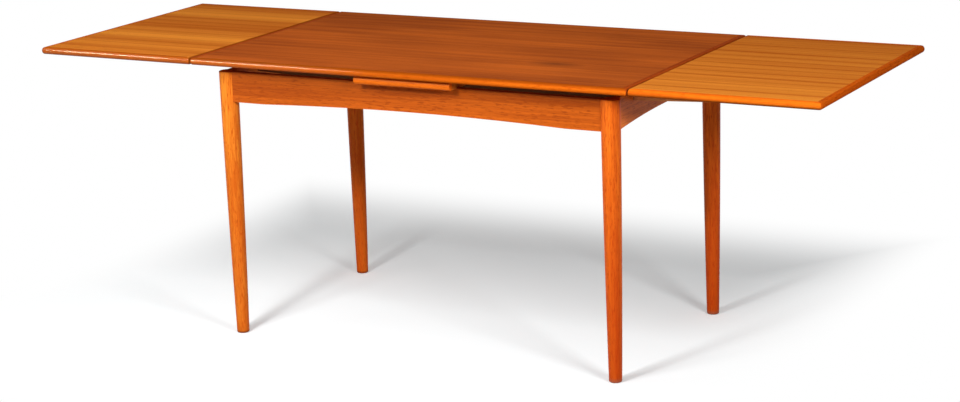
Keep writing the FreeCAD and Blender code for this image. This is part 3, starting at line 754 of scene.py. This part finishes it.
# The heights where the polish of the long lippings is full and gone: it shows on their round only
POLISH_FULL = 0.7275
POLISH_GONE = 0.7293


def round_polish(strength, full, gone):
    """A polish on the round of the long lippings, between two places along the table."""
    return Polish(strength, ((UP, POLISH_FULL, POLISH_GONE), (ALONG, full, gone)))


# The long lippings of each top: where the figure starts, the polish and the painted shades
LippingLook = namedtuple("LippingLook", "start polish shades")
LIPPING_LOOKS = {
    "left_leaf": LippingLook(0.3, round_polish(0.32, -0.3, -0.1), (
        Shade(UP, 0.729, 0.7225, 0.08, UPPER_SHADE_TONE),
        Shade(UP, 0.711, 0.7165, 0.35, UNDER_SHADE_TONE),
        Shade(ALONG, -0.3, -0.1, 0.64, ALONG_SHADE_TONE),
    )),
    "top": LippingLook(0, round_polish(0.24, -0.4, 0.05), (
        Shade(UP, 0.729, 0.7225, 0.62, UPPER_SHADE_TONE),
        Shade(UP, 0.711, 0.7165, 0.25, UNDER_SHADE_TONE),
        Shade(ALONG, -0.6, 0.9, 0.5, ALONG_SHADE_TONE),
    )),
    "right_leaf": LippingLook(0.6, NO_POLISH, (
        Shade(UP, 0.7135, 0.7222, 0.76, UNDER_SHADE_TONE),
    )),
}


class LipEdges(bpy.types.Operator):
    """Rounds, mitres and sets the solid lippings round the centre top, the leaves and the fixed board"""

    bl_idname = "drawtable.lip_edges"
    bl_label = "Lippings"

    def execute(self, context):
        sizes = context.scene.table_sizes
        colours = context.scene.table_colours
        long_woods = {}
        for prefix, look in LIPPING_LOOKS.items():
            long_woods[prefix] = solid_wood(
                f"{prefix}_long_lipping_wood", colours.lipping_pale, colours.lipping_dark, ALONG, look.start,
                LONG_LIPPING_GLOSS, shades=look.shades, polish=look.polish)
        board_wood = solid_wood(
            "board_strip_wood", colours.lipping_pale, colours.lipping_dark, ALONG, 0.7, BOARD_STRIP_GLOSS)
        leaf_end = solid_wood(
            "leaf_end_lipping_wood", colours.leaf_end_pale, colours.leaf_end_dark, ACROSS, 0,
            END_LIPPING_GLOSS)
        centre_end = solid_wood(
            "centre_end_lipping_wood", colours.centre_end_pale, colours.centre_end_dark, ACROSS, 0,
            END_LIPPING_GLOSS)
        both_ends = 2
        inner_end = 1
        self.rim("top", ("left", "right"), both_ends, sizes, long_woods["top"], centre_end)
        leaf = self.rim(
            "right_leaf", ("inner", "outer"), inner_end, sizes, long_woods["right_leaf"], leaf_end)
        # Turned half round, the right leaf's front strip becomes the left leaf's back strip
        names = ("back", "front", "inner", "outer")
        long_wood = long_woods["left_leaf"]
        woods = (long_wood, long_wood, leaf_end, leaf_end)
        table_middle = (0, 0, 0)
        for piece, name, wood in zip(leaf, names, woods):
            stand_for(half_turn(piece, table_middle), f"left_leaf_{name}_lipping", wood)
        self.board_strips(sizes, board_wood)
        return {"FINISHED"}

    def rim(self, prefix, end_names, seam_count, sizes, long_wood, end_wood):
        """The mitred strips of a top: front, back and the two ends, an end at a seam before an outer end."""
        names = ("front", "back", *end_names)
        low, high = self.box_round(f"{prefix}_{name}_lipping" for name in names)
        middle = (low + high) / 2
        width = sizes.lipping_width
        seams = (low.x, high.x)[:seam_count]
        pieces = []
        for edge, inward in ((low.y, 1), (high.y, -1)):
            pieces.append(self.strip(low, high, seams, sizes, [
                ((middle.x, edge + inward * width, middle.z), (0, inward, 0)),
                ((low.x, edge, middle.z), (-1, inward, 0)),
                ((high.x, edge, middle.z), (1, inward, 0)),
            ]))
        for edge, inward in ((low.x, 1), (high.x, -1)):
            pieces.append(self.strip(low, high, seams, sizes, [
                ((edge + inward * width, middle.y, middle.z), (inward, 0, 0)),
                ((edge, low.y, middle.z), (inward, -1, 0)),
                ((edge, high.y, middle.z), (inward, 1, 0)),
            ]))
        woods = (long_wood, long_wood, end_wood, end_wood)
        for piece, name, wood in zip(pieces, names, woods):
            stand_for(piece, f"{prefix}_{name}_lipping", wood)
        return pieces

    def box_round(self, nodes):
        """The lowest and the highest corner of the box round several nodes."""
        corners = [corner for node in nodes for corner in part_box(node)]
        low = Vector(min(corner[axis] for corner in corners) for axis in (ALONG, ACROSS, UP))
        high = Vector(max(corner[axis] for corner in corners) for axis in (ALONG, ACROSS, UP))
        return low, high

    def strip(self, low, high, seams, sizes, cuts):
        """A strip cut out of a rounded board as large as the whole top."""
        def at_seam(a, b):
            """True for an edge that lies in the end face at a seam."""
            return any(same(a.x, seam) and same(b.x, seam) for seam in seams)

        add_block(low, high)
        # A leaf has one seam, and round corners at its other end
        if len(seams) == 1:
            pick_edges(lambda a, b: same(a.x, b.x) and same(a.y, b.y) and not at_seam(a, b))
            bpy.ops.mesh.bevel(offset=sizes.corner_rounding, segments=CORNER_STEPS, affect="EDGES")
        pick_edges(lambda a, b: same(a.z, b.z) and not at_seam(a, b))
        bpy.ops.mesh.bevel(
            offset=sizes.edge_rounding, segments=EDGE_STEPS, affect="EDGES", clamp_overlap=False)
        pick_edges(at_seam)
        bpy.ops.mesh.bevel(offset=sizes.seam_rounding, segments=SEAM_STEPS, affect="EDGES")
        for point, direction in cuts:
            cut_away(point, direction)
        return close_piece()

    def board_strips(self, sizes, wood):
        """The two strips of the fixed board, with square ends."""
        low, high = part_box("centre_board_front_lipping")
        add_block(low, high)
        pick_edges(lambda a, b: same(a.y, low.y) and same(b.y, low.y) and same(a.z, b.z))
        bpy.ops.mesh.bevel(offset=sizes.edge_rounding, segments=EDGE_STEPS, affect="EDGES")
        front = close_piece()
        back = half_turn(front, (0, 0, low.z))
        stand_for(front, "centre_board_front_lipping", wood)
        stand_for(back, "centre_board_back_lipping", wood)


BOARD_GLOSS = Gloss(0.5, 0.05)


class LayVeneers(bpy.types.Operator):
    """Lays the veneers of the centre top, the leaves and the fixed board"""

    bl_idname = "drawtable.lay_veneers"
    bl_label = "Veneers"

    def execute(self, context):
        colours = context.scene.table_colours
        put_finish("top_panel", centre_veneer("centre_veneer", colours.centre_pale, colours.centre_dark))
        for name, side in LEAF_SIDES.items():
            veneer = leaf_veneer(
                f"{name}_leaf_veneer", colours.leaf_pale, colours.leaf_dark, LEAF_LOOKS[name], side)
            put_finish(f"{name}_leaf_panel", veneer)
            inner = bpy.data.objects[f"{name}_leaf_inner_lipping_shape"]
            inner.material_slots[0].material = veneer
        put_finish("centre_board", solid_wood(
            "board_veneer", colours.leaf_pale, colours.leaf_dark, ALONG, 0.5, BOARD_GLOSS))
        return {"FINISHED"}


LONG_APRON_GLOSS = Gloss(0.42, 0.06)
END_APRON_GLOSS = Gloss(0.42, 0.08)


class FinishFrame(bpy.types.Operator):
    """Gives the aprons their wood"""

    bl_idname = "drawtable.finish_frame"
    bl_label = "Aprons"

    def execute(self, context):
        colours = context.scene.table_colours
        long_wood = solid_wood(
            "long_apron_wood", colours.apron_pale, colours.apron_dark, ALONG, 0.2, LONG_APRON_GLOSS)
        # Painted light: a lighter apron wood for the end aprons, which stand in shade under the leaves
        end_wood = solid_wood(
            "end_apron_wood", colours.end_apron_pale, colours.end_apron_dark, ACROSS, 0.4, END_APRON_GLOSS)
        for node in ("front_apron", "back_apron"):
            put_finish(node, long_wood)
        for node in ("right_end_apron", "left_end_apron"):
            put_finish(node, end_wood)
        return {"FINISHED"}


RUNNER_GLOSS = Gloss(0.55, 0.1)

# Painted shade on the runners where they lie inside the frame, in the dark under the tops: the places along
# the table where it is full and gone
SLOT_SHADE_FULL = 0.53
SLOT_SHADE_GONE = 0.56
SLOT_SHADE_STRENGTH = 0.9
SLOT_SHADE_TONE = from_screen(92, 54, 29)


class FinishWorkings(bpy.types.Operator):
    """Gives the runners, rail, blocks, pegs, pins, screws and pads their finishes"""

    bl_idname = "drawtable.finish_workings"
    bl_label = "Runners and Fittings"

    def execute(self, context):
        colours = context.scene.table_colours
        woods = colours.runner_pale, colours.runner_dark
        finishes = {}
        for name, side in LEAF_SIDES.items():
            # Painted shade on the part of each runner inside the frame
            slot_shade = Shade(ALONG, SLOT_SHADE_FULL * side, SLOT_SHADE_GONE * side, SLOT_SHADE_STRENGTH, SLOT_SHADE_TONE)
            wood = solid_wood(f"{name}_runner_wood", *woods, ALONG, 0, RUNNER_GLOSS, shades=(slot_shade,))
            finishes[wood] = (f"{name}_leaf_front_runner", f"{name}_leaf_back_runner")
        across = solid_wood("rail_wood", *woods, ACROSS, 0, RUNNER_GLOSS)
        upright = solid_wood("pin_wood", *woods, UP, 0, RUNNER_GLOSS)
        steel = screw_steel("screw_steel", colours.steel)
        felt = pad_felt("pad_felt", colours.felt)
        finishes.update({across: ("guide_rail", *CORNER_BLOCKS), upright: TURNED_PINS})
        finishes.update({steel: SCREWS, felt: ("felt_pads",)})
        for material, nodes in finishes.items():
            for node in nodes:
                put_finish(node, material)
        return {"FINISHED"}


# The studio's floor: its width, and how far it lies below the feet
FLOOR_WIDTH = 80
FLOOR_DROP = 0.0005

# The part of the floor that shows shadows: its middle along the table, and the places between which it turns
# white at the sides, behind the table and in front of it
SHADOW_MIDDLE = -0.22
SHADOW_SIDES = (0.66, 1.12)
SHADOW_BACK = (0.62, 1.3)
SHADOW_FRONT = (-1.0, -0.6)

# Painted light on the floor: a glow that lifts its shadows, more at the left than at the right, and the
# places along the table between which it changes
LEFT_SHADOW_LIFT = 0.27
RIGHT_SHADOW_LIFT = 0.165
SHADOW_LIFT_CHANGE = (-0.7, 0.6)

# The floor's grey in the light that it throws back at the table
DULL_FLOOR = 0.42

# The lamps: each one's place, its width and height, and the place that it shines at
Lamp = namedtuple("Lamp", "place extent target")
TABLE_TOP = (0, 0, 0.7)
LAMPS = {
    "front": Lamp((-0.25, -2.85, 2.1), (0.3, 0.3), TABLE_TOP),
    "left": Lamp((-0.42, -2.4, 2.75), (0.9, 1.5), TABLE_TOP),
    "right": Lamp((2.9, -1.8, 1.75), (0.8, 0.6), TABLE_TOP),
    "edge": Lamp((-2.2, -1.5, 2.4), (1.2, 0.8), TABLE_TOP),
    "sheen": Lamp((-2.55, -2.6, 1.8), (1.5, 0.35), (-2.55, -0.37, 0.72)),
}
SHEEN_COLOUR = (1, 0.95, 0.66)


class SetStage(bpy.types.Operator):
    """Sets the white floor, the lamps, the room's light and the camera"""

    bl_idname = "drawtable.set_stage"
    bl_label = "Studio"

    def execute(self, context):
        settings = context.scene.table_stage
        self.lay_floor(settings)
        self.light_room(context.scene, settings)
        stands = {}
        for name, lamp in LAMPS.items():
            stands[name] = self.hang_lamp(f"{name}_lamp", lamp, getattr(settings, name))
        stands["sheen"].data.color = SHEEN_COLOUR
        stands["sheen"].visible_diffuse = False
        stands["left"].visible_glossy = False
        self.stand_camera(context.scene)
        context.scene.view_settings.view_transform = "Standard"
        return {"FINISHED"}

    def lay_floor(self, settings):
        """A wide floor that takes the shadow, lifted by a painted glow, and is white to the eye outside it.
        """
        start_piece()
        bpy.ops.mesh.primitive_plane_add(size=FLOOR_WIDTH, location=(0, 0, -FLOOR_DROP))
        floor = bpy.context.object
        floor.name = "floor"
        material, finish = new_material("studio_floor")
        place = finish.place()
        along = finish.node("ShaderNodeSeparateXYZ", None, {"Vector": place}, ALONG)
        across = finish.node("ShaderNodeSeparateXYZ", None, {"Vector": place}, ACROSS)
        beside = finish.spread(finish.maths("ABSOLUTE", along - SHADOW_MIDDLE), *SHADOW_SIDES)
        behind = finish.spread(across, *SHADOW_BACK)
        before = 1 - finish.spread(across, *SHADOW_FRONT)
        far = finish.maths("MAXIMUM", beside, finish.maths("MAXIMUM", behind, before))
        matt = finish.node("ShaderNodeBsdfDiffuse", None, {"Color": solid(settings.floor)})
        # Painted light: a glow that lifts the floor's shadows, more at the left than at the right
        shadow_lift = finish.mix(finish.spread(along, *SHADOW_LIFT_CHANGE), grey(LEFT_SHADOW_LIFT), grey(RIGHT_SHADOW_LIFT))
        glow = finish.node("ShaderNodeEmission", None, {"Color": shadow_lift, "Strength": 1})
        near = finish.node("ShaderNodeAddShader", None, {0: matt, 1: glow})
        white = finish.node("ShaderNodeEmission", None, {"Strength": 1})
        looked_at = finish.node("ShaderNodeMixShader", None, {0: far, 1: near, 2: white})
        dull = finish.node("ShaderNodeBsdfDiffuse", None, {"Color": grey(DULL_FLOOR)})
        upper = finish.node("ShaderNodeMixShader", None, {0: self.seen(finish), 1: dull, 2: looked_at})
        from_below = finish.node("ShaderNodeNewGeometry", output="Backfacing")
        clear = finish.node("ShaderNodeBsdfTransparent")
        shader = finish.node("ShaderNodeMixShader", None, {0: from_below, 1: upper, 2: clear})
        finish.surface(shader)
        floor.data.materials.append(material)

    def seen(self, finish):
        """One where the eye, a reflection or a see-through surface looks, and zero elsewhere."""
        outputs = finish.node("ShaderNodeLightPath").socket.node.outputs
        eye = Value(finish, outputs["Is Camera Ray"])
        reflection = Value(finish, outputs["Is Glossy Ray"])
        see_through = Value(finish, outputs["Is Transmission Ray"])
        return finish.maths("MAXIMUM", eye, finish.maths("MAXIMUM", reflection, see_through))

    def light_room(self, scene, settings):
        """White behind the table, and a weaker light from all round."""
        world = bpy.data.worlds.new("studio")
        world.use_nodes = True
        finish = Finish(world.node_tree)
        strength = self.seen(finish) * (1 - settings.room) + settings.room
        glow = finish.node("ShaderNodeBackground", None, {"Color": grey(1), "Strength": strength})
        finish.node("ShaderNodeOutputWorld", None, {"Surface": glow})
        scene.world = world

    def hang_lamp(self, name, lamp, watts):
        """A flat lamp, turned towards the place that it shines at."""
        data = bpy.data.lights.new(name, "AREA")
        data.shape = "RECTANGLE"
        data.size, data.size_y = lamp.extent
        data.energy = watts
        stand = bpy.data.objects.new(name, data)
        stand.location = lamp.place
        stand.rotation_euler = (Vector(lamp.target) - stand.location).to_track_quat("-Z", "Y").to_euler()
        bpy.context.scene.collection.objects.link(stand)
        return stand

    def stand_camera(self, scene):
        """A camera in front and to the right, a little above the table, tipped slightly sideways."""
        focal_pixels = 2359.0
        picture_width = 960
        film_width = 36
        place = Vector((2.8134, -5.1727, 1.7979))
        turn = math.radians(28.41)
        tilt = math.radians(14.04)
        lean = math.radians(1.86)
        data = bpy.data.cameras.new("camera")
        data.sensor_fit = "HORIZONTAL"
        data.sensor_width = film_width
        data.lens = focal_pixels / picture_width * film_width
        camera = bpy.data.objects.new("camera", data)
        level = Matrix.Rotation(turn, 4, "Z") @ Matrix.Rotation(math.pi / 2 - tilt, 4, "X")
        camera.matrix_world = Matrix.Translation(place) @ level @ Matrix.Rotation(-lean, 4, "Z")
        scene.collection.objects.link(camera)
        scene.camera = camera


class TablePanel(bpy.types.Panel):
    """The table's steps, sizes and colours"""

    bl_idname = "VIEW3D_PT_draw_leaf_table"
    bl_label = "Draw Leaf Table"
    bl_space_type = "VIEW_3D"
    bl_region_type = "UI"
    bl_category = "Table"

    def draw(self, context):
        for step in STEPS:
            self.layout.operator(step.bl_idname)
        for name in GROUPS:
            group = getattr(context.scene, name)
            box = self.layout.box()
            for choice in group.bl_rna.properties.keys():
                if choice not in ("rna_type", "name"):
                    box.prop(group, choice)


STEPS = (TurnLegs, LipEdges, LayVeneers, FinishFrame, FinishWorkings, SetStage)
GROUPS = {"table_sizes": TableSizes, "table_colours": TableColours, "table_stage": StageSettings}


def register():
    for item in (*GROUPS.values(), *STEPS, TablePanel):
        bpy.utils.register_class(item)
    for name, group in GROUPS.items():
        setattr(bpy.types.Scene, name, PointerProperty(type=group))


def unregister():
    for name in GROUPS:
        delattr(bpy.types.Scene, name)
    for item in reversed((*GROUPS.values(), *STEPS, TablePanel)):
        bpy.utils.unregister_class(item)


def main():
    register()
    bpy.ops.drawtable.turn_legs()
    bpy.ops.drawtable.lip_edges()
    bpy.ops.drawtable.lay_veneers()
    bpy.ops.drawtable.finish_frame()
    bpy.ops.drawtable.finish_workings()
    bpy.ops.drawtable.set_stage()


if __name__ == "__main__":
    main()
